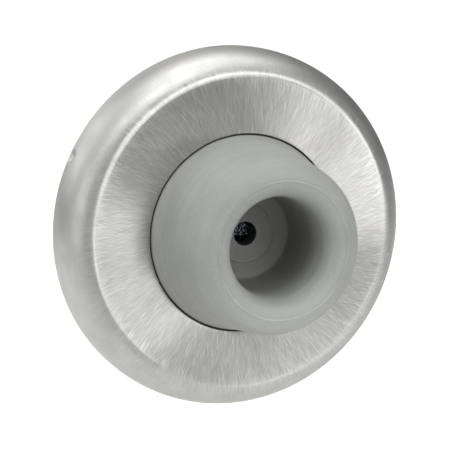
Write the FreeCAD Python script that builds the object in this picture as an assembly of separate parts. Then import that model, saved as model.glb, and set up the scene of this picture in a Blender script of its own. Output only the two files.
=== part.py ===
import FreeCAD, Part
import math
import os

from FreeCAD import Vector

# A concave wall door stop, as it is fixed to a wall. Millimetres.
# The wall's face is the plane y = 0, +Z is up, and the room is on the -Y side.
# Every turned piece shares the Y axis. A "station" is a distance in front of the wall, so a
# point at station s has y = -s, and a piece inside the wall has negative stations.

# Cover cup: pressed stainless sheet with an open, dished front
CUP_R = 31.75
SHEET = 1.0
SKIRT = 1.5
CREST_R = 26.85
CREST_STATION = 8.95
OPENING_R = 17.25
OPENING_STATION = 8.54
CUP_EDGE_ROUND = 0.3

# Stakes: round-nosed punch marks in the skirt, which keep the retaining plate in the cup
STAKE_ANGLES = (154, 274, 34)
STAKE_NOSE_R = 2.2
STAKE_STATION = 1.4
STAKE_DEPTH = 0.45
STAKE_BULGE = 0.75
STAKE_CLEARANCE = 0.02

# Retaining plate: the steel disc that closes the back of the cup
PLATE_R = 30.4
PLATE_STATIONS = (1.6, 2.7)
PLATE_HOLE_R = 2.35
PLATE_EDGE_ROUND = 0.2

# Rubber bumper: a flange trapped behind the cup's front, and a hollow nose
PROJECTION = 25.4
LIP_R = 11.48
LIP_OUTER = (3.36, 4.33)
LIP_INNER = (2.97, 3.75)
PARTING_BEAD_R = 0.2
PARTING_BEAD_RISE = 0.08
SIDE_DRAFT = math.radians(8.0)
BOWL_DRAFT = math.radians(2.66)
FLOOR_STATION = 8.73
FLOOR_BEAD_R = 5.0
FLOOR_BEAD = (0.3, 0.16)
BOWL_CORNER_ROUND = 0.7
DRIVER_HOLE_R = 2.05
FLANGE_R = 22.0
FLANGE_ROUND = 0.8
FLANGE_GAP = 0.1
HEAD_POCKET_R = 4.9
HEAD_POCKET_STATION = 5.4

# Mounting screw: number 8 pan head, 1-1/2 in long under the head
HEAD_R = 4.05
HEAD_HEIGHT = 2.4
CROWN_FLAT_R = 2.4
CROWN_BEND = (3.35, 0.33)
CROWN_FALL = 1.4
RECESS_DEPTH = 1.7
RECESS_SPAN = 3.9
RECESS_WING = 1.0
RECESS_TAPER = 0.5
SCREW_LENGTH = 38.1
THREAD_R = 2.1
ROOT_R = 1.5
THREAD_PITCH = 1.7
PLAIN_SHANK = 2.2
SHANK_RUNOUT = 0.4
TIP_TURNS = 3
TIP_R = 0.35
THREAD_BASE = 1.05
THREAD_OVERLAP = 0.12

# Wall anchor: ribbed plastic plug in the wall, split at its far end
COLLAR_R = 4.6
COLLAR_THICK = 1.0
COLLAR_CHAMFER = 0.3
ANCHOR_LENGTH = 31.0
ANCHOR_BORE_R = 1.6
ANCHOR_CORE_R = 2.75
ANCHOR_NECK_R = 2.95
RIB_R = 3.2
RIB_CREST = 1.0
RIB_RAMP = 0.9
RIB_PITCH = 2.5
FIRST_RIB = 9.0
RIB_COUNT = 8
SPLIT_START = 13.0
SPLIT_WIDTH = 0.8
SPLIT_TURNS = (45, 135)
FIN_LENGTH = 7.5
FIN_THICK = 0.9
FIN_R = 4.3
ANCHOR_NOSE = 1.6

AXIS_START = Vector(0, 0, 0)
AXIS = Vector(0, 1, 0)
FULL_TURN = 360
SAME = 1e-4


def at(radius, station):
    """A point of a half section."""
    return Vector(radius, -station, 0)


def path(*points):
    """Straight edges through the points, each (radius, station)."""
    return [Part.makeLine(at(*a), at(*b)) for a, b in zip(points, points[1:])]


def elliptic_arc(centre, semi_axes, start, end):
    """An edge of the ellipse with these (radial, axial) semi-axes.

    Its angles, in radians, start at +radius and turn towards the room. The axial one is longer.
    """
    radial, axial = semi_axes
    radius, station = centre
    ellipse = Part.Ellipse(at(radius, station + axial), at(radius + radial, station), at(*centre))
    quarter = math.pi / 2
    return Part.ArcOfEllipse(ellipse, quarter - end, quarter - start).toShape()


def arc_point(centre, semi_axes, angle):
    """The (radius, station) where elliptic_arc passes at the angle."""
    return (
        centre[0] + semi_axes[0] * math.cos(angle),
        centre[1] + semi_axes[1] * math.sin(angle),
    )


def turned(edges):
    """The solid that a closed half section makes around the Y axis."""
    section = Part.Face(Part.Wire(Part.__sortEdges__(edges)))
    return section.revolve(AXIS_START, AXIS, FULL_TURN)


def disc(radius, low_station, high_station):
    """A plain disc on the Y axis between two stations."""
    return Part.makeCylinder(radius, high_station - low_station, at(0, high_station), AXIS)


def round_rims(solid, rims, size):
    """Fillets the circular edges at the rims, each (radius, station)."""

    def is_rim(edge):
        curve = edge.Curve
        if not isinstance(curve, Part.Circle):
            return False
        return any(
            abs(curve.Radius - radius) < SAME and abs(curve.Center.y + station) < SAME
            for radius, station in rims
        )

    return solid.makeFillet(size, [edge for edge in solid.Edges if is_rim(edge)])


def spun(shape, degrees):
    """A copy turned about the Y axis, from +X towards +Z."""
    copy = shape.copy()
    copy.rotate(AXIS_START, AXIS, -degrees)
    return copy


def punch_nose(radius, depth):
    """The round nose of a punch at +X, pressed to a depth inside the radius."""
    return Part.makeSphere(STAKE_NOSE_R, at(radius - depth + STAKE_NOSE_R, STAKE_STATION))


def cover_cup():
    """Skirt, elliptical shoulder, crest, and a shallow dish down to the round opening."""
    shoulder = (CUP_R - CREST_R, CREST_STATION - SKIRT)
    inside = (shoulder[0] - SHEET, shoulder[1] - SHEET)
    centre = (CREST_R, SKIRT)
    edges = [
        *path((CUP_R - SHEET, SKIRT), (CUP_R - SHEET, 0), (CUP_R, 0), (CUP_R, SKIRT)),
        elliptic_arc(centre, shoulder, 0, math.pi / 2),
        *path(
            (CREST_R, CREST_STATION),
            (OPENING_R, OPENING_STATION),
            (OPENING_R, OPENING_STATION - SHEET),
            (CREST_R, CREST_STATION - SHEET),
        ),
        elliptic_arc(centre, inside, 0, math.pi / 2),
    ]
    cup = round_rims(turned(edges), [(OPENING_R, OPENING_STATION)], CUP_EDGE_ROUND)
    behind_plate = disc(CUP_R - SHEET / 2, 0, PLATE_STATIONS[0] - STAKE_CLEARANCE)
    bulge = punch_nose(CUP_R - SHEET, STAKE_BULGE).common(behind_plate)
    dent = punch_nose(CUP_R, STAKE_DEPTH)
    for angle in STAKE_ANGLES:
        cup = cup.fuse(spun(bulge, angle)).cut(spun(dent, angle))
    return cup


def retaining_plate():
    """A blanked disc with the screw's hole."""
    low, high = PLATE_STATIONS
    plate = disc(PLATE_R, low, high).cut(disc(PLATE_HOLE_R, low, high))
    return round_rims(plate, [(PLATE_R, low), (PLATE_R, high)], PLATE_EDGE_ROUND)


def dish_underside(radius):
    """The station of the cup's inner face at a radius within the dish."""
    slope = (CREST_STATION - OPENING_STATION) / (CREST_R - OPENING_R)
    return OPENING_STATION - SHEET + slope * (radius - OPENING_R)


def rubber_bumper():
    """Flange, drafted nose with a rounded lip, and a bowl with the screwdriver's hole."""
    crest = PROJECTION - PARTING_BEAD_RISE
    outer_centre = (LIP_R, crest - LIP_OUTER[1])
    inner_centre = (LIP_R, crest - LIP_INNER[1])
    # the lip's arcs start where their slope is the draft of the straight wall below
    outer_start = math.atan(math.tan(SIDE_DRAFT) * LIP_OUTER[1] / LIP_OUTER[0])
    inner_start = math.atan(math.tan(BOWL_DRAFT) * LIP_INNER[1] / LIP_INNER[0])
    side_top = arc_point(outer_centre, LIP_OUTER, outer_start)
    bowl_top = arc_point(inner_centre, LIP_INNER, math.pi - inner_start)

    def side_r(station):
        return side_top[0] + (side_top[1] - station) * math.tan(SIDE_DRAFT)

    neck_station = dish_underside(OPENING_R) - FLANGE_GAP
    flange_station = dish_underside(FLANGE_R) - FLANGE_GAP
    back = PLATE_STATIONS[1]
    floor_r = bowl_top[0] - (bowl_top[1] - FLOOR_STATION) * math.tan(BOWL_DRAFT)
    edges = [
        *path(
            (DRIVER_HOLE_R, FLOOR_STATION),
            (DRIVER_HOLE_R, HEAD_POCKET_STATION),
            (HEAD_POCKET_R, HEAD_POCKET_STATION),
            (HEAD_POCKET_R, back),
            (FLANGE_R, back),
            (FLANGE_R, flange_station),
            (side_r(neck_station), neck_station),
            side_top,
        ),
        elliptic_arc(outer_centre, LIP_OUTER, outer_start, math.pi / 2),
        elliptic_arc(inner_centre, LIP_INNER, math.pi / 2, math.pi - inner_start),
        *path(bowl_top, (floor_r, FLOOR_STATION), (DRIVER_HOLE_R, FLOOR_STATION)),
    ]
    bumper = round_rims(turned(edges), [(floor_r, FLOOR_STATION)], BOWL_CORNER_ROUND)
    bumper = round_rims(bumper, [(FLANGE_R, back), (FLANGE_R, flange_station)], FLANGE_ROUND)
    parting = Part.makeTorus(LIP_R, PARTING_BEAD_R, at(0, PROJECTION - PARTING_BEAD_R), AXIS)
    half, rise = FLOOR_BEAD
    floor_bead = turned(
        path(
            (FLOOR_BEAD_R - half, FLOOR_STATION - rise),
            (FLOOR_BEAD_R + half, FLOOR_STATION - rise),
            (FLOOR_BEAD_R + half / 2, FLOOR_STATION + rise),
            (FLOOR_BEAD_R - half / 2, FLOOR_STATION + rise),
            (FLOOR_BEAD_R - half, FLOOR_STATION - rise),
        )
    )
    return bumper.fuse([parting, floor_bead])


def cross_recess(top_station):
    """The tapered four-winged driver recess that goes into the screw's head."""
    wings = []
    low = top_station - RECESS_DEPTH
    for length, width in ((RECESS_SPAN, RECESS_WING), (RECESS_WING, RECESS_SPAN)):
        outlines = []
        for station, share in ((top_station, 1), (low, RECESS_TAPER)):
            long, wide = share * length, share * width
            corner = Vector(-long / 2, -station, -wide / 2)
            outlines.append(Part.makePlane(long, wide, corner, AXIS).OuterWire)
        wings.append(Part.makeLoft(outlines, True))
    return wings[0].fuse(wings[1])


def thread_ridge(radius, height, half_angle, start):
    """One triangular ridge on a helix about Z that widens by half_angle as it climbs."""
    helix = Part.makeHelix(THREAD_PITCH, height, radius, half_angle)
    half = THREAD_BASE / 2
    depth = THREAD_R - ROOT_R
    corners = [
        Vector(radius - THREAD_OVERLAP, 0, -half),
        Vector(radius + depth, 0, 0),
        Vector(radius - THREAD_OVERLAP, 0, half),
    ]
    section = Part.Wire(Part.makePolygon([*corners, corners[0]]))
    ridge = Part.Wire(helix).makePipeShell([section], True, True)
    ridge.translate(Vector(0, 0, start))
    return ridge


def mounting_screw():
    """Pan head with a crowned top, plain neck, helical thread and a threaded gimlet point."""
    seat = PLATE_STATIONS[1]
    top = seat + HEAD_HEIGHT
    tip = seat - SCREW_LENGTH
    tip_length = TIP_TURNS * THREAD_PITCH
    bend_r, bend_fall = CROWN_BEND
    screw = turned(
        [
            *path(
                (0, top),
                (0, tip),
                (TIP_R, tip + TIP_R),
                (ROOT_R, tip + tip_length),
                (ROOT_R, seat - PLAIN_SHANK),
                (THREAD_R, seat - PLAIN_SHANK + SHANK_RUNOUT),
                (THREAD_R, seat),
                (HEAD_R, seat),
                (HEAD_R, top - CROWN_FALL),
            ),
            Part.Arc(
                at(HEAD_R, top - CROWN_FALL),
                at(bend_r, top - bend_fall),
                at(CROWN_FLAT_R, top),
            ).toShape(),
            *path((CROWN_FLAT_R, top), (0, top)),
        ]
    )
    screw = screw.cut(cross_recess(top))
    widening = math.degrees(math.atan((ROOT_R - TIP_R) / tip_length))
    straight = SCREW_LENGTH - tip_length - PLAIN_SHANK - THREAD_PITCH / 2
    ridges = [
        thread_ridge(TIP_R, tip_length, widening, 0),
        thread_ridge(ROOT_R, straight, 0, tip_length),
    ]
    # the ridges climb from the tip along +Z; the screw's tip is deep in the wall at +Y
    for ridge in ridges:
        ridge.rotate(AXIS_START, Vector(1, 0, 0), 90)
        ridge.translate(at(0, tip))
    return screw.fuse(ridges)


def wall_anchor():
    """Collar, two fins that stop it turning, ribbed body, pilot bore and crossed splits."""
    core = [
        (0, COLLAR_THICK),
        (COLLAR_R - COLLAR_CHAMFER, COLLAR_THICK),
        (COLLAR_R, COLLAR_THICK - COLLAR_CHAMFER),
        (COLLAR_R, 0),
        (ANCHOR_NECK_R, 0),
        (ANCHOR_NECK_R, -FIN_LENGTH),
        (ANCHOR_CORE_R, -FIRST_RIB + RIB_RAMP),
    ]
    for rib in range(RIB_COUNT):
        start = -FIRST_RIB - rib * RIB_PITCH
        core += [
            (ANCHOR_CORE_R, start),
            (RIB_R, start),
            (RIB_R, start - RIB_CREST),
            (ANCHOR_CORE_R, start - RIB_CREST - RIB_RAMP),
        ]
    core += [
        (ANCHOR_CORE_R, -ANCHOR_LENGTH + ANCHOR_NOSE),
        (ANCHOR_CORE_R - ANCHOR_NOSE / 2, -ANCHOR_LENGTH),
        (0, -ANCHOR_LENGTH),
        (0, COLLAR_THICK),
    ]
    anchor = turned(path(*core))
    fin = Part.makeBox(2 * FIN_R, FIN_LENGTH, FIN_THICK, Vector(-FIN_R, 0, -FIN_THICK / 2))
    anchor = anchor.fuse(fin).cut(disc(ANCHOR_BORE_R, -ANCHOR_LENGTH - 1, COLLAR_THICK + 1))
    split_length = ANCHOR_LENGTH - SPLIT_START + 1
    for turn in SPLIT_TURNS:
        corner = Vector(-FIN_R, SPLIT_START, -SPLIT_WIDTH / 2)
        slot = Part.makeBox(2 * FIN_R, split_length, SPLIT_WIDTH, corner)
        anchor = anchor.cut(spun(slot, turn))
    return anchor


PIECES = {
    "cover_cup": cover_cup,
    "rubber_bumper": rubber_bumper,
    "retaining_plate": retaining_plate,
    "mounting_screw": mounting_screw,
    "wall_anchor": wall_anchor,
}


def main():
    os.makedirs("parts", exist_ok=True)
    for name, build in PIECES.items():
        solid = build().removeSplitter()
        print(name, "valid", solid.isValid(), "solids", len(solid.Solids), round(solid.Volume, 1))
        solid.exportStep("parts/" + name + ".step")


main()
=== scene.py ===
import math

import bpy
from mathutils import Matrix, Vector


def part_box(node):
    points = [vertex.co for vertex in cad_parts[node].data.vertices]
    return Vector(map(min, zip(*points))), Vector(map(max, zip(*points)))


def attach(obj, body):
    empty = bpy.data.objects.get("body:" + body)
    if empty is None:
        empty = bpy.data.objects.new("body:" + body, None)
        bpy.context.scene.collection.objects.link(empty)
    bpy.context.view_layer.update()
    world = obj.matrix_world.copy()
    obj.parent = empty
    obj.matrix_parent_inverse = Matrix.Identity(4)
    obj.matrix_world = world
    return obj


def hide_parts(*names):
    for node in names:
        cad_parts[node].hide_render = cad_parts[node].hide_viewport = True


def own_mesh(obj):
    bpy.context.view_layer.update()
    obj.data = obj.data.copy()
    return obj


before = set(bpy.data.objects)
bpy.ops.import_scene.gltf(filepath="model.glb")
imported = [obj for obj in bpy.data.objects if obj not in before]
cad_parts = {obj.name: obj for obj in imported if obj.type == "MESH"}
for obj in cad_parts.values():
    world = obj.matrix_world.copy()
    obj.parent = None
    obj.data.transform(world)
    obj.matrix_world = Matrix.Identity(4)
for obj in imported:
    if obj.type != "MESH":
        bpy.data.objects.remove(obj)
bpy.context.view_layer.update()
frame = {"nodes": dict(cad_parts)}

# The wall is the plane y = 0, the room is on its -Y side, and +Z is up.
# A station is a distance in front of the wall, so a point at station s has y = -s.
MM = 0.001

# ---------------------------------------------------------------- sizes, read from the frame
cup_low, cup_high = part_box("cover_cup")
rubber_low, rubber_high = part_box("rubber_bumper")
plate_low, plate_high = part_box("retaining_plate")

CUP_R = cup_high.x
CREST_STATION = -cup_low.y
PROJECTION = -rubber_low.y
PLATE_FRONT = -plate_low.y
PLATE_BACK = -plate_high.y
FLANGE_R = rubber_high.x

# the cup's section
SHEET = 1.0 * MM
SKIRT = 1.5 * MM
CREST_R = CUP_R - 4.9 * MM
OPENING_R = CUP_R - 14.5 * MM
OPENING_STATION = CREST_STATION - 0.41 * MM
OPENING_ROUND = 0.16 * MM
CREST_EDGE = 0.06 * MM
REAR_ROUND = 0.12 * MM
SHOULDER_STEPS = 56
INSIDE_STEPS = 32
DISH_STEPS = 16
CUP_TURNS = 360

# the stakes in the skirt
STAKE_ANGLES = (154, 274, 34)
STAKE_NOSE_R = 2.2 * MM
STAKE_STATION = 1.4 * MM
STAKE_DEPTH = 0.45 * MM
STAKE_BULGE = 0.75 * MM
STAKE_SPAN = math.radians(4)
STAKE_TOP = 5 * MM
STAKE_TURNS = 24

# the rubber's section
LIP_R = 11.48 * MM
LIP_OUTER = (3.36 * MM, 4.33 * MM)
LIP_INNER = (2.97 * MM, 3.75 * MM)
PARTING_RISE = 0.07 * MM
PARTING_HALF = 0.15 * MM
SIDE_DRAFT = math.radians(8.0)
BOWL_DRAFT = math.radians(2.66)
FLOOR_STATION = 8.73 * MM
FLOOR_BEAD_R = 5.0 * MM
FLOOR_BEAD_HALF = 0.3 * MM
FLOOR_BEAD_RISE = 0.16 * MM
BOWL_CORNER_ROUND = 0.7 * MM
DRIVER_HOLE_R = 2.05 * MM
DRIVER_HOLE_ROUND = 0.15 * MM
NECK_FLARE = (0.34 * MM, 3.2 * MM)
FLANGE_ROUND = 0.8 * MM
FLANGE_GAP = 0.1 * MM
HEAD_POCKET_R = 4.9 * MM
HEAD_POCKET_STATION = 5.4 * MM
LIP_STEPS = 40
SIDE_STEPS = 24
FLOOR_BEAD_STEPS = 10
PARTING_STEPS = 8
FLARE_STEPS = 10
RUBBER_TURNS = 288


# ---------------------------------------------------------------- turned meshes
def elliptic_arc(centre, semi_axes, start, end, steps):
    """Points of a half section along an ellipse, its angles from +radius towards the room."""
    points = []
    for i in range(steps + 1):
        angle = start + (end - start) * i / steps
        points.append(
            (
                centre[0] + semi_axes[0] * math.cos(angle),
                centre[1] + semi_axes[1] * math.sin(angle),
            )
        )
    return points


def straight(start, end, steps):
    """Points of a half section along a line, without its first one."""
    return [
        (
            start[0] + (end[0] - start[0]) * i / steps,
            start[1] + (end[1] - start[1]) * i / steps,
        )
        for i in range(1, steps + 1)
    ]


def turned(name, section, angles, shape=None):
    """A closed ring mesh: the section's points, (radius, station), at each angle about the Y axis.

    shape(radius, station, index, angle) may return a new radius and station for a point.
    """
    vertices = []
    for angle in angles:
        for index, (radius, station) in enumerate(section):
            if shape:
                radius, station = shape(radius, station, index, angle)
            vertices.append((radius * math.cos(angle), -station, radius * math.sin(angle)))
    count, turns = len(section), len(angles)
    faces = []
    for turn in range(turns):
        here, there = turn * count, ((turn + 1) % turns) * count
        for index in range(count):
            after = (index + 1) % count
            faces.append((here + index, here + after, there + after, there + index))
    mesh = bpy.data.meshes.new(name)
    mesh.from_pydata(vertices, [], faces)
    mesh.validate()
    mesh.polygons.foreach_set("use_smooth", [True] * len(mesh.polygons))
    mesh.update()
    piece = bpy.data.objects.new(name, mesh)
    bpy.context.scene.collection.objects.link(piece)
    return piece


def even_angles(count):
    """Angles of a full turn."""
    return [2 * math.pi * i / count for i in range(count)]


def cup_section():
    """The pressed sheet's outline: outside from the rear rim to the opening, then back inside."""
    centre = (CREST_R, SKIRT)
    outside = (CUP_R - CREST_R, CREST_STATION - SKIRT)
    inside = (outside[0] - SHEET, outside[1] - SHEET)
    slope = (CREST_STATION - OPENING_STATION) / (CREST_R - OPENING_R)
    rim = (OPENING_R + OPENING_ROUND, OPENING_STATION + slope * OPENING_ROUND)
    points = elliptic_arc(
        (CUP_R - REAR_ROUND, REAR_ROUND), (REAR_ROUND, REAR_ROUND), -math.pi / 2, 0, 4
    )
    points += straight(points[-1], (CUP_R, SKIRT), 6)
    points += elliptic_arc(centre, outside, 0, math.pi / 2, SHOULDER_STEPS)[1:]
    points += straight(points[-1], (CREST_R - CREST_EDGE, CREST_STATION - slope * CREST_EDGE), 1)
    points += straight(points[-1], rim, DISH_STEPS)
    round_centre = (OPENING_R + OPENING_ROUND, rim[1] - OPENING_ROUND)
    points += elliptic_arc(
        round_centre, (OPENING_ROUND, OPENING_ROUND), math.pi / 2, math.pi, 5
    )[1:]
    points += straight(points[-1], (OPENING_R, OPENING_STATION - SHEET), 2)
    points += straight(points[-1], (CREST_R, CREST_STATION - SHEET), 8)
    points += elliptic_arc(centre, inside, math.pi / 2, 0, INSIDE_STEPS)[1:]
    points += straight(points[-1], (CUP_R - SHEET, 0), 6)
    return points


def cup_angles():
    """Even angles, with close ones across each stake."""
    angles = set(even_angles(CUP_TURNS))
    for stake in STAKE_ANGLES:
        middle = math.radians(stake)
        for i in range(-STAKE_TURNS, STAKE_TURNS + 1):
            angles.add((middle + STAKE_SPAN * (i / STAKE_TURNS)) % (2 * math.pi))
    ordered = []
    for angle in sorted(angles):
        if not ordered or angle - ordered[-1] > 1e-4:
            ordered.append(angle)
    return ordered


def stake_surface(cut_r, depth, station, offset):
    """The radius of a punch nose's surface at a station and an angle off the stake, or None."""
    centre_r = cut_r - depth + STAKE_NOSE_R
    room = STAKE_NOSE_R**2 - (station - STAKE_STATION) ** 2 - (centre_r * math.sin(offset)) ** 2
    if room <= 0 or abs(offset) > math.pi / 2:
        return None
    return centre_r * math.cos(offset) - math.sqrt(room)


def make_cup():
    """The cover cup, with the stakes pressed into its skirt."""
    section = cup_section()
    inner_from = max(range(len(section)), key=lambda i: section[i][1]) + 1
    stakes = [math.radians(angle) for angle in STAKE_ANGLES]

    def staked(radius, station, index, angle):
        for stake in stakes:
            offset = (angle - stake + math.pi) % (2 * math.pi) - math.pi
            if abs(offset) > STAKE_SPAN or station > STAKE_TOP:
                continue
            if index < inner_from:
                pressed = stake_surface(CUP_R, STAKE_DEPTH, station, offset)
            elif station < PLATE_BACK:
                pressed = stake_surface(CUP_R - SHEET, STAKE_BULGE, station, offset)
            else:
                pressed = None
            if pressed is not None:
                radius = min(radius, pressed)
        return radius, station

    return turned("cover_cup_skin", section, cup_angles(), staked)


def rubber_section():
    """The bumper's outline: bowl floor, bowl, lip, side, flange and the screw head's pocket."""
    crest = PROJECTION - PARTING_RISE
    outer_centre = (LIP_R, crest - LIP_OUTER[1])
    inner_centre = (LIP_R, crest - LIP_INNER[1])
    outer_start = math.atan(math.tan(SIDE_DRAFT) * LIP_OUTER[1] / LIP_OUTER[0])
    inner_start = math.atan(math.tan(BOWL_DRAFT) * LIP_INNER[1] / LIP_INNER[0])
    lip_inside = elliptic_arc(
        inner_centre, LIP_INNER, math.pi - inner_start, math.pi / 2, LIP_STEPS
    )
    lip_outside = elliptic_arc(outer_centre, LIP_OUTER, math.pi / 2, outer_start, LIP_STEPS)
    bowl_top, side_top = lip_inside[0], lip_outside[-1]
    floor_r = bowl_top[0] - (bowl_top[1] - FLOOR_STATION) * math.tan(BOWL_DRAFT)
    slope = (CREST_STATION - OPENING_STATION) / (CREST_R - OPENING_R)
    neck_station = OPENING_STATION - SHEET - FLANGE_GAP
    flange_station = neck_station + slope * (FLANGE_R - OPENING_R)
    neck_r = side_top[0] + (side_top[1] - neck_station) * math.tan(SIDE_DRAFT)

    points = [(DRIVER_HOLE_R, HEAD_POCKET_STATION)]
    points += straight(points[-1], (DRIVER_HOLE_R, FLOOR_STATION - DRIVER_HOLE_ROUND), 6)
    points += elliptic_arc(
        (DRIVER_HOLE_R + DRIVER_HOLE_ROUND, FLOOR_STATION - DRIVER_HOLE_ROUND),
        (DRIVER_HOLE_ROUND, DRIVER_HOLE_ROUND),
        math.pi,
        math.pi / 2,
        4,
    )[1:]
    points += straight(points[-1], (FLOOR_BEAD_R - FLOOR_BEAD_HALF, FLOOR_STATION), 6)
    for i in range(1, FLOOR_BEAD_STEPS + 1):
        across = -1 + 2 * i / FLOOR_BEAD_STEPS
        rise = FLOOR_BEAD_RISE * (0.5 + 0.5 * math.cos(math.pi * across))
        points.append((FLOOR_BEAD_R + FLOOR_BEAD_HALF * across, FLOOR_STATION + rise))
    points += straight(points[-1], (floor_r - BOWL_CORNER_ROUND, FLOOR_STATION), 5)
    points += elliptic_arc(
        (floor_r - BOWL_CORNER_ROUND, FLOOR_STATION + BOWL_CORNER_ROUND),
        (BOWL_CORNER_ROUND, BOWL_CORNER_ROUND),
        -math.pi / 2,
        -BOWL_DRAFT,
        6,
    )[1:]
    points += straight(points[-1], bowl_top, 16)
    points += lip_inside[1:-1]
    for i in range(PARTING_STEPS + 1):
        across = -1 + 2 * i / PARTING_STEPS
        rise = PARTING_RISE * (0.5 + 0.5 * math.cos(math.pi * across))
        points.append((LIP_R + PARTING_HALF * across, crest + rise))
    points += lip_outside[1:]
    flare_station = OPENING_STATION + NECK_FLARE[1]
    flare_r = side_top[0] + (side_top[1] - flare_station) * math.tan(SIDE_DRAFT)
    points += straight(points[-1], (flare_r, flare_station), SIDE_STEPS)
    for i in range(1, FLARE_STEPS + 1):
        share = i / FLARE_STEPS
        station = flare_station - NECK_FLARE[1] * share
        drafted = side_top[0] + (side_top[1] - station) * math.tan(SIDE_DRAFT)
        points.append((drafted + NECK_FLARE[0] * (3 - 2 * share) * share**2, station))
    points += straight(points[-1], (neck_r + NECK_FLARE[0], neck_station), 4)
    points += straight(points[-1], (FLANGE_R - FLANGE_ROUND, flange_station), 6)
    points += elliptic_arc(
        (FLANGE_R - FLANGE_ROUND, flange_station - FLANGE_ROUND),
        (FLANGE_ROUND, FLANGE_ROUND),
        math.pi / 2,
        0,
        6,
    )[1:]
    points += elliptic_arc(
        (FLANGE_R - FLANGE_ROUND, PLATE_FRONT + FLANGE_ROUND),
        (FLANGE_ROUND, FLANGE_ROUND),
        0,
        -math.pi / 2,
        6,
    )
    points += straight(points[-1], (HEAD_POCKET_R, PLATE_FRONT), 6)
    points += straight(points[-1], (HEAD_POCKET_R, HEAD_POCKET_STATION), 3)
    points += straight(points[-1], points[0], 3)[:-1]
    return points


def make_rubber():
    """The rubber bumper."""
    return turned("rubber_bumper_skin", rubber_section(), even_angles(RUBBER_TURNS))


# ---------------------------------------------------------------- material helpers
class Nodes:
    """A material's node tree with short calls for what the materials below need."""

    def __init__(self, name):
        self.material = bpy.data.materials.new(name)
        self.material.use_nodes = True
        self.tree = self.material.node_tree
        self.tree.nodes.clear()
        self.output = self.add("ShaderNodeOutputMaterial")
        self.shader = self.add("ShaderNodeBsdfPrincipled")
        self.tree.links.new(self.shader.outputs[0], self.output.inputs["Surface"])
        self.place = self.add("ShaderNodeTexCoord").outputs["Object"]

    def add(self, kind, **settings):
        node = self.tree.nodes.new(kind)
        for key, value in settings.items():
            setattr(node, key, value)
        return node

    def feed(self, socket, value):
        if isinstance(value, bpy.types.NodeSocket):
            self.tree.links.new(value, socket)
        else:
            socket.default_value = value

    def math(self, operation, *values):
        node = self.add("ShaderNodeMath", operation=operation)
        for socket, value in zip(node.inputs, values):
            self.feed(socket, value)
        return node.outputs[0]

    def vector(self, operation, *values, out=0):
        node = self.add("ShaderNodeVectorMath", operation=operation)
        for socket, value in zip(node.inputs, values):
            self.feed(socket, value)
        return node.outputs[out]

    def split(self, vector):
        node = self.add("ShaderNodeSeparateXYZ")
        self.feed(node.inputs[0], vector)
        return node.outputs

    def join(self, x, y, z):
        node = self.add("ShaderNodeCombineXYZ")
        for socket, value in zip(node.inputs, (x, y, z)):
            self.feed(socket, value)
        return node.outputs[0]

    def noise(self, vector, scale=1.0, detail=2.0):
        node = self.add("ShaderNodeTexNoise")
        self.feed(node.inputs["Vector"], vector)
        node.inputs["Scale"].default_value = scale
        node.inputs["Detail"].default_value = detail
        return node.outputs[0]

    def ramp(self, value, low, high, to_low=0.0, to_high=1.0, smooth=True):
        node = self.add("ShaderNodeMapRange")
        if smooth:
            node.interpolation_type = "SMOOTHSTEP"
        for socket, number in zip(node.inputs, (value, low, high, to_low, to_high)):
            self.feed(socket, number)
        return node.outputs[0]

    def mix(self, share, a, b):
        node = self.add("ShaderNodeMix", data_type="RGBA")
        self.feed(node.inputs[0], share)
        self.feed(node.inputs[6], a)
        self.feed(node.inputs[7], b)
        return node.outputs[2]

    def bump(self, height, distance, strength=1.0, normal=None):
        node = self.add("ShaderNodeBump")
        self.feed(node.inputs["Height"], height)
        node.inputs["Distance"].default_value = distance
        node.inputs["Strength"].default_value = strength
        if normal:
            self.feed(node.inputs["Normal"], normal)
        return node.outputs[0]

    def polar(self):
        """(radius, station, direction): direction is the unit vector from the Y axis."""
        x, y, z = self.split(self.place)
        flat = self.join(x, 0.0, z)
        radius = self.vector("LENGTH", flat, out=1)
        direction = self.vector("NORMALIZE", flat)
        return radius, self.math("MULTIPLY", y, -1.0), direction

    def streaks(self, radius, station, direction, across, along, slant, seed):
        """Noise drawn out along the radius, leaning by slant radians per metre of radius.

        across and along are the streaks' width and length in metres at the dish's middle.
        """
        turn = self.add("ShaderNodeVectorRotate", rotation_type="Y_AXIS")
        self.feed(turn.inputs["Vector"], direction)
        self.feed(turn.inputs["Angle"], self.math("MULTIPLY", radius, slant))
        around = self.vector("SCALE", turn.outputs[0])
        self.feed(around.node.inputs["Scale"], (CREST_R + OPENING_R) / 2 / across)
        depth = self.math("SUBTRACT", radius, station)
        outward = self.join(0.0, self.math("MULTIPLY_ADD", depth, 1 / along, seed), 0.0)
        return self.noise(self.vector("ADD", around, outward), detail=1.0)


def colour(red, green, blue):
    return (red, green, blue, 1.0)


# ---------------------------------------------------------------- materials
# layers of the dish's brush marks: width, length, lean in radians per metre, and seed
BRUSH_MARKS = (
    (0.085 * MM, 3.0 * MM, 4.0, 0.0),
    (0.10 * MM, 2.6 * MM, 12.0, 17.0),
    (0.12 * MM, 2.6 * MM, -10.0, 41.0),
    (0.80 * MM, 7.0 * MM, 4.0, 73.0),
)
# where the brushing gives way to the shoulder's satin, and how raggedly
BRUSHING_END = (CREST_R - 0.3 * MM, CREST_R + 2.1 * MM)
SCRATCHES_END = (CREST_R + 2.2 * MM, CREST_R + 4.2 * MM)
# the band along the crest that is painted pale as a highlight
PAINTED_HIGHLIGHT_BAND = (CREST_R - 1.2 * MM, CREST_R + 0.5 * MM)
RAGGEDNESS = 2.0 * MM
TURNING_RINGS = 0.22 * MM
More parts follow.
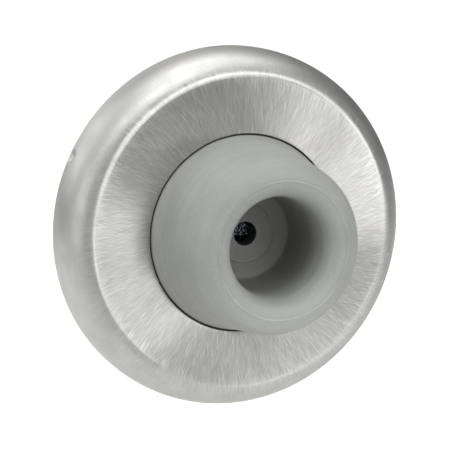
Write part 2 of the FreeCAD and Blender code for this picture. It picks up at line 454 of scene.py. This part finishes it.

# the rubber's mould rings, and the bands, by radius or station, where shade and a highlight are
# painted into its colour
MOULD_RINGS = 0.5 * MM
BOWL_EDGE = (9.2 * MM, 9.6 * MM)
BOWL_SHADE = (16 * MM, 23 * MM)
HOLE_SHADE = (DRIVER_HOLE_R + 0.12 * MM, DRIVER_HOLE_R + 0.03 * MM)
FOOT_SHADE = (OPENING_STATION - 0.45 * MM, OPENING_STATION + 0.05 * MM)
LIP_SHEEN_BAND = (23.4 * MM, 25.2 * MM)

# the parting line, painted pale as a highlight that is strongest on its underside: its radius, its
# half width's fade and the station that it starts at
LINE_R = LIP_R + 0.05 * MM
LINE_EDGE = (0.04 * MM, 0.14 * MM)
LINE_FROM = 25 * MM


def satin_stainless():
    """Stainless sheet: radial brushing on the dish and over the crest, plain satin outside it, and
    a painted highlight along the crest.
    """
    m = Nodes("satin_stainless")
    radius, station, direction = m.polar()
    circling = m.vector("CROSS_PRODUCT", direction, Vector((0, 1, 0)))

    # the dish: crossing layers of fine brush marks, and single scratches among them
    fine, leaning, crossing, broad = (
        m.streaks(radius, station, direction, *marks) for marks in BRUSH_MARKS
    )
    coarse = m.math("MULTIPLY_ADD", broad, 0.4, 0.3)
    brushed = m.math("ADD", m.math("ADD", fine, leaning), m.math("ADD", crossing, coarse))
    bright_lines = m.ramp(m.math("MAXIMUM", fine, leaning), 0.61, 0.72)
    dark_lines = m.ramp(m.math("MINIMUM", crossing, fine), 0.37, 0.27)
    tone = m.ramp(brushed, 1.5, 2.5)
    base = m.mix(tone, colour(0.56, 0.554, 0.53), colour(0.67, 0.664, 0.636))
    base = m.mix(m.math("MULTIPLY", bright_lines, 0.5), base, colour(0.98, 0.98, 0.95))
    base = m.mix(m.math("MULTIPLY", dark_lines, 0.35), base, colour(0.26, 0.26, 0.25))

    # the brush marks run out raggedly over the crest, and a ragged band of painted highlight lies
    # along the crest
    hairs = m.math("ADD", fine, m.math("MULTIPLY", leaning, 1.4))
    ragged = m.math("MULTIPLY", m.math("SUBTRACT", hairs, 1.2), RAGGEDNESS)
    edge = m.math("ADD", radius, ragged)
    painted_highlight_strength = m.ramp(hairs, 0.9, 1.5, 0.15, 0.4)
    painted_highlight_share = m.math("MULTIPLY", m.ramp(edge, *PAINTED_HIGHLIGHT_BAND), painted_highlight_strength)
    base = m.mix(painted_highlight_share, base, colour(0.98, 0.98, 0.96))
    m.feed(m.shader.inputs["Base Color"], base)
    m.feed(m.shader.inputs["Roughness"], m.ramp(brushed, 1.4, 2.6, 0.40, 0.34))
    m.feed(m.shader.inputs["Normal"], m.bump(brushed, 0.05 * MM, 0.15))
    m.feed(m.shader.inputs["Tangent"], circling)
    m.shader.inputs["Metallic"].default_value = 1.0
    m.shader.inputs["Anisotropic"].default_value = 1.0

    # the shoulder and skirt
    flat = m.vector("SCALE", direction)
    m.feed(flat.node.inputs["Scale"], 9.0)
    depth = m.math("SUBTRACT", radius, station)
    rings = m.noise(
        m.vector("ADD", flat, m.join(0.0, m.math("MULTIPLY", depth, 1 / TURNING_RINGS), 0.0)),
        detail=3.0,
    )
    mottle = m.noise(m.place, scale=260.0, detail=3.0)
    satin = m.math("ADD", m.math("MULTIPLY", rings, 0.6), mottle)
    outer = m.add("ShaderNodeBsdfPrincipled")
    outer_tone = m.ramp(m.math("ADD", mottle, rings), 0.7, 1.3)
    outer_colour = m.mix(outer_tone, colour(0.60, 0.596, 0.572), colour(0.66, 0.656, 0.63))
    marked = m.ramp(edge, *SCRATCHES_END, 1.0, 0.0)
    lit = m.math("MULTIPLY", m.math("MULTIPLY", bright_lines, marked), 0.35)
    outer_colour = m.mix(lit, outer_colour, colour(0.98, 0.98, 0.95))
    cut = m.math("MULTIPLY", m.math("MULTIPLY", dark_lines, marked), 0.2)
    outer_colour = m.mix(cut, outer_colour, colour(0.3, 0.3, 0.29))
    m.feed(outer.inputs["Base Color"], outer_colour)
    m.feed(outer.inputs["Roughness"], m.ramp(mottle, 0.3, 0.7, 0.50, 0.44))
    m.feed(outer.inputs["Normal"], m.bump(satin, 0.06 * MM, 0.1))
    m.feed(outer.inputs["Tangent"], direction)
    outer.inputs["Metallic"].default_value = 1.0
    outer.inputs["Anisotropic"].default_value = 0.3
    outer.inputs["Specular Tint"].default_value = colour(0.85, 0.85, 0.85)

    dish = m.ramp(edge, *BRUSHING_END, 1.0, 0.0)
    both = m.add("ShaderNodeMixShader")
    m.feed(both.inputs[0], dish)
    m.feed(both.inputs[1], outer.outputs[0])
    m.feed(both.inputs[2], m.shader.outputs[0])
    m.feed(m.output.inputs["Surface"], both.outputs[0])
    return m.material


def grey_rubber():
    """Matt moulded rubber: faint rings from its mould, painted shade down the bowl, in the hole
    and at the foot, and a painted highlight under the lip and along the parting line.
    """
    m = Nodes("grey_rubber")
    radius, station, direction = m.polar()
    around = m.vector("SCALE", direction)
    m.feed(around.node.inputs["Scale"], 0.6)
    depth = m.math("ADD", radius, m.math("MULTIPLY", station, 0.7))
    rings = m.noise(
        m.vector("ADD", around, m.join(0.0, m.math("MULTIPLY", depth, 1 / MOULD_RINGS), 0.0)),
        detail=2.0,
    )
    grain = m.noise(m.place, scale=2600.0, detail=2.0)
    cloud = m.noise(m.place, scale=140.0, detail=2.0)
    tone = m.math("ADD", m.math("MULTIPLY", cloud, 0.4), m.math("MULTIPLY", grain, 0.3))
    tone = m.math("ADD", tone, m.math("MULTIPLY", rings, 0.3))
    tone = m.ramp(tone, 0.3, 0.7, smooth=False)
    base = m.mix(tone, colour(0.34, 0.35, 0.328), colour(0.45, 0.462, 0.434))
    # painted shade: the bowl's floor and lower wall are darkened, more so deeper down
    sunk = m.ramp(station, *BOWL_SHADE, 1.0, 0.0)
    painted_bowl_shade = m.math("MULTIPLY", sunk, m.ramp(radius, *BOWL_EDGE, 1.0, 0.0))
    base = m.mix(m.math("MULTIPLY", painted_bowl_shade, 0.5), base, colour(0.14, 0.14, 0.135))
    # painted shade: the driver hole's wall is made nearly black
    painted_hole_shade = m.ramp(radius, *HOLE_SHADE)
    base = m.mix(m.math("MULTIPLY", painted_hole_shade, 0.85), base, colour(0.02, 0.022, 0.025))
    # painted shade: the rubber's foot in the gap behind the cup's opening is made nearly black
    behind = m.ramp(station, *FOOT_SHADE, 1.0, 0.0)
    painted_foot_shade = m.math("MULTIPLY", behind, m.math("GREATER_THAN", radius, BOWL_EDGE[1]))
    base = m.mix(m.math("MULTIPLY", painted_foot_shade, 0.75), base, colour(0.03, 0.03, 0.03))
    off_line = m.math("ABSOLUTE", m.math("SUBTRACT", radius, LINE_R))
    on_lip = m.math("GREATER_THAN", station, LINE_FROM)
    line = m.math("MULTIPLY", on_lip, m.ramp(off_line, *LINE_EDGE, 1.0, 0.0))
    # painted highlight: the lip's underside is made paler
    below = m.ramp(m.split(direction)[2], -0.5, -1.0)
    painted_lip_sheen = m.math("MULTIPLY", below, m.ramp(station, *LIP_SHEEN_BAND))
    base = m.mix(m.math("MULTIPLY", painted_lip_sheen, 0.16), base, colour(0.8, 0.81, 0.79))
    # painted highlight: the parting line is paler, unevenly along it and most on the lip's
    # underside
    painted_highlight_share = m.math("MULTIPLY_ADD", below, 0.4, m.ramp(cloud, 0.3, 0.7, 0.05, 0.3))
    base = m.mix(m.math("MULTIPLY", line, painted_highlight_share), base, colour(0.8, 0.81, 0.79))
    m.feed(m.shader.inputs["Base Color"], base)
    m.feed(m.shader.inputs["Roughness"], m.ramp(cloud, 0.3, 0.7, 0.52, 0.6))
    ring_normal = m.bump(rings, 0.02 * MM, 0.4)
    m.feed(m.shader.inputs["Normal"], m.bump(grain, 0.015 * MM, 0.5, ring_normal))
    m.shader.inputs["Specular IOR Level"].default_value = 0.35
    return m.material


def zinc_plate():
    """Bright zinc over rolled sheet."""
    m = Nodes("zinc_plated_steel")
    x, y, z = m.split(m.place)
    rolled = m.noise(m.join(m.math("MULTIPLY", x, 40.0), 0.0, m.math("MULTIPLY", z, 1800.0)))
    spangle = m.noise(m.place, scale=300.0, detail=3.0)
    base = m.mix(spangle, colour(0.55, 0.57, 0.60), colour(0.68, 0.69, 0.70))
    m.feed(m.shader.inputs["Base Color"], base)
    m.feed(m.shader.inputs["Roughness"], m.ramp(spangle, 0.3, 0.7, 0.28, 0.42))
    m.feed(m.shader.inputs["Normal"], m.bump(rolled, 0.03 * MM, 0.5))
    m.shader.inputs["Metallic"].default_value = 1.0
    return m.material


def blackened_steel():
    """Blue-black oxide that glints where it is oiled."""
    m = Nodes("blackened_steel")
    grain = m.noise(m.place, scale=2300.0, detail=2.0)
    base = m.mix(m.ramp(grain, 0.35, 0.7), colour(0.03, 0.04, 0.06), colour(0.2, 0.24, 0.3))
    m.feed(m.shader.inputs["Base Color"], base)
    m.feed(m.shader.inputs["Roughness"], m.ramp(grain, 0.3, 0.7, 0.08, 0.22))
    m.feed(m.shader.inputs["Normal"], m.bump(grain, 0.3 * MM, 1.0))
    m.shader.inputs["Metallic"].default_value = 0.9
    return m.material


def anchor_plastic():
    """Moulded nylon, slightly clouded."""
    m = Nodes("anchor_plastic")
    cloud = m.noise(m.place, scale=350.0, detail=3.0)
    grain = m.noise(m.place, scale=3000.0, detail=1.0)
    base = m.mix(cloud, colour(0.50, 0.51, 0.50), colour(0.60, 0.61, 0.60))
    m.feed(m.shader.inputs["Base Color"], base)
    m.feed(m.shader.inputs["Roughness"], m.ramp(cloud, 0.3, 0.7, 0.42, 0.55))
    m.feed(m.shader.inputs["Normal"], m.bump(grain, 0.01 * MM, 0.6))
    m.shader.inputs["Subsurface Weight"].default_value = 0.15
    m.shader.inputs["Subsurface Radius"].default_value = (0.001, 0.001, 0.001)
    return m.material


def pale_floor():
    """The stage's pale matt paint, barely clouded."""
    m = Nodes("pale_floor")
    tone = m.noise(m.place, scale=6.0)
    base = m.mix(tone, colour(0.93, 0.93, 0.925), colour(0.95, 0.95, 0.945))
    m.feed(m.shader.inputs["Base Color"], base)
    m.shader.inputs["Roughness"].default_value = 0.9
    return m.material


def dress(piece, material):
    """Puts one material in every slot of a piece."""
    if not piece.material_slots:
        piece.data.materials.append(material)
    for holder in piece.material_slots:
        holder.material = material


# ---------------------------------------------------------------- the object
def make_object():
    """The cup and rubber as finer meshes, and the other three nodes in better materials."""
    nodes = frame["nodes"]
    cup = make_cup()
    dress(cup, satin_stainless())
    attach(cup, "base")
    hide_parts("cover_cup")

    rubber = make_rubber()
    dress(rubber, grey_rubber())
    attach(rubber, "base")
    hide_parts("rubber_bumper")
    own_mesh(rubber)

    dress(nodes["retaining_plate"], zinc_plate())
    dress(nodes["mounting_screw"], blackened_steel())
    dress(nodes["wall_anchor"], anchor_plastic())


# ---------------------------------------------------------------- camera, floor and light
CAMERA_AZIMUTH = math.radians(-22.03)
CAMERA_ELEVATION = math.radians(10.45)
CAMERA_DISTANCE = 283.22 * MM
CAMERA_ASIDE = -0.18 * MM
CAMERA_LENS = 128.0
CAMERA_SENSOR = 36.0
CAMERA_NEAR = 0.01
FLOOR_Z = -0.151
FLOOR_HALF = 200.0
REFLECTOR_Z = FLOOR_Z + 1 * MM


def towards(azimuth, elevation):
    """The unit vector at an azimuth from -Y towards +X and an elevation, both in radians."""
    level = math.cos(elevation)
    return Vector(
        (math.sin(azimuth) * level, -math.cos(azimuth) * level, math.sin(elevation))
    )


def make_camera():
    """A camera whose back points along the azimuth and elevation from the wall's mount."""
    turn, lift = CAMERA_AZIMUTH, CAMERA_ELEVATION
    back = towards(turn, lift)
    right = Vector((math.cos(turn), math.sin(turn), 0))
    up = back.cross(right)
    place = back * CAMERA_DISTANCE + right * CAMERA_ASIDE
    data = bpy.data.cameras.new("camera")
    data.lens = CAMERA_LENS
    data.sensor_width = CAMERA_SENSOR
    data.clip_start = CAMERA_NEAR
    camera = bpy.data.objects.new("camera", data)
    camera.matrix_world = Matrix(
        (
            (right.x, up.x, back.x, place.x),
            (right.y, up.y, back.y, place.y),
            (right.z, up.z, back.z, place.z),
            (0, 0, 0, 1),
        )
    )
    bpy.context.scene.collection.objects.link(camera)
    bpy.context.scene.camera = camera


def flat_square(name, half, height):
    """A level square about the Z axis."""
    mesh = bpy.data.meshes.new(name)
    corners = [(-half, -half), (half, -half), (half, half), (-half, half)]
    mesh.from_pydata([(x, y, height) for x, y in corners], [], [(0, 1, 2, 3)])
    square = bpy.data.objects.new(name, mesh)
    bpy.context.scene.collection.objects.link(square)
    return square


def make_floor():
    """The floor that the camera sees, and just over it a reflector that only the object sees."""
    material = pale_floor()
    floor = flat_square("floor", FLOOR_HALF, FLOOR_Z)
    floor.visible_diffuse = False
    floor.visible_glossy = False
    reflector = flat_square("reflector", FLOOR_HALF, REFLECTOR_Z)
    reflector.visible_camera = False
    reflector.visible_shadow = False
    for stage in (floor, reflector):
        dress(stage, material)
    return floor


# softboxes that face the object: azimuth and elevation in degrees, distance, width and
# height in metres, and power in watts
SOFTBOXES = {
    "key_strip": (15, 26, 0.30, 0.17, 0.07, 0.17),
    "key_left": (-6, 14, 0.30, 0.07, 0.07, 0.045),
    "key_right": (22, 14, 0.30, 0.07, 0.07, 0.038),
    "key_low": (2, 3, 0.30, 0.07, 0.07, 0.04),
    "low_front": (36, -9, 0.30, 0.09, 0.09, 0.042),
    "low_left": (5, -24, 0.30, 0.10, 0.10, 0.028),
    "low_right": (30, -24, 0.30, 0.10, 0.10, 0.038),
    "low_side": (55, -24, 0.30, 0.10, 0.10, 0.042),
    "side_left": (-75, 10, 0.90, 0.60, 0.60, 1.4),
    "high_left": (-60, 45, 0.35, 0.14, 0.14, 0.14),
    "over_left": (-25, 64, 0.35, 0.16, 0.16, 0.28),
    "over_right": (70, 66, 0.35, 0.18, 0.18, 0.17),
    "behind_left": (-130, 25, 0.50, 0.30, 0.30, 0.38),
    "behind_top": (-130, 50, 0.50, 0.30, 0.30, 0.16),
    "behind_low": (-178, 16, 0.90, 0.60, 0.40, 0.70),
}
ROOM_LIGHT = 0.12
BACKDROP_LIGHT = 0.96
FLOOR_SUN = 3.2
FLOOR_SUN_ANGLE = math.radians(60)

# the panel that lights the reflector behind the object
PANEL_PLACE = Vector((1.2, 2.6, 0.9))
PANEL_SIZE = (4.4, 5.0)
PANEL_POWER = 54.0
PANEL_SPREAD = math.radians(60)


def area_light(name, place, target, size, power):
    """An area light that the camera doesn't see."""
    data = bpy.data.lights.new(name, "AREA")
    data.shape = "RECTANGLE"
    data.size, data.size_y = size
    data.energy = power
    light = bpy.data.objects.new(name, data)
    light.location = place
    light.rotation_euler = (Vector(target) - Vector(place)).to_track_quat("-Z", "Y").to_euler()
    light.visible_camera = False
    bpy.context.scene.collection.objects.link(light)
    return data


def light_floor(floor):
    """A soft sun for the floor alone, so that it is as pale from every side."""
    only_floor = bpy.data.collections.new("only_floor")
    only_floor.objects.link(floor)
    data = bpy.data.lights.new("floor_sun", "SUN")
    data.energy = FLOOR_SUN
    data.angle = FLOOR_SUN_ANGLE
    sun = bpy.data.objects.new("floor_sun", data)
    sun.light_linking.receiver_collection = only_floor
    bpy.context.scene.collection.objects.link(sun)


def make_room():
    """A dim room for the object, in front of a backdrop that looks as pale as the floor."""
    world = bpy.data.worlds.new("studio")
    world.use_nodes = True
    nodes, links = world.node_tree.nodes, world.node_tree.links
    background = nodes["Background"]
    background.inputs["Color"].default_value = (1.0, 1.0, 1.0, 1.0)
    strength = nodes.new("ShaderNodeMapRange")
    strength.inputs["To Min"].default_value = ROOM_LIGHT
    strength.inputs["To Max"].default_value = BACKDROP_LIGHT
    links.new(nodes.new("ShaderNodeLightPath").outputs["Is Camera Ray"], strength.inputs["Value"])
    links.new(strength.outputs[0], background.inputs["Strength"])
    bpy.context.scene.world = world


def make_light():
    """The softboxes, and the panel that lights the reflector."""
    for name, (azimuth, elevation, distance, width, height, power) in SOFTBOXES.items():
        place = distance * towards(math.radians(azimuth), math.radians(elevation))
        area_light(name, place, (0, 0, 0), (width, height), power)
    # just off the vertical, so that which way the panel's long side lies is settled
    below = PANEL_PLACE + Vector((0, MM, FLOOR_Z - PANEL_PLACE.z))
    panel = area_light("over_reflector", PANEL_PLACE, below, PANEL_SIZE, PANEL_POWER)
    panel.spread = PANEL_SPREAD


def main():
    """Builds the scene."""
    make_camera()
    light_floor(make_floor())
    make_room()
    make_light()
    make_object()
    bpy.context.scene.view_settings.view_transform = "Standard"


main()
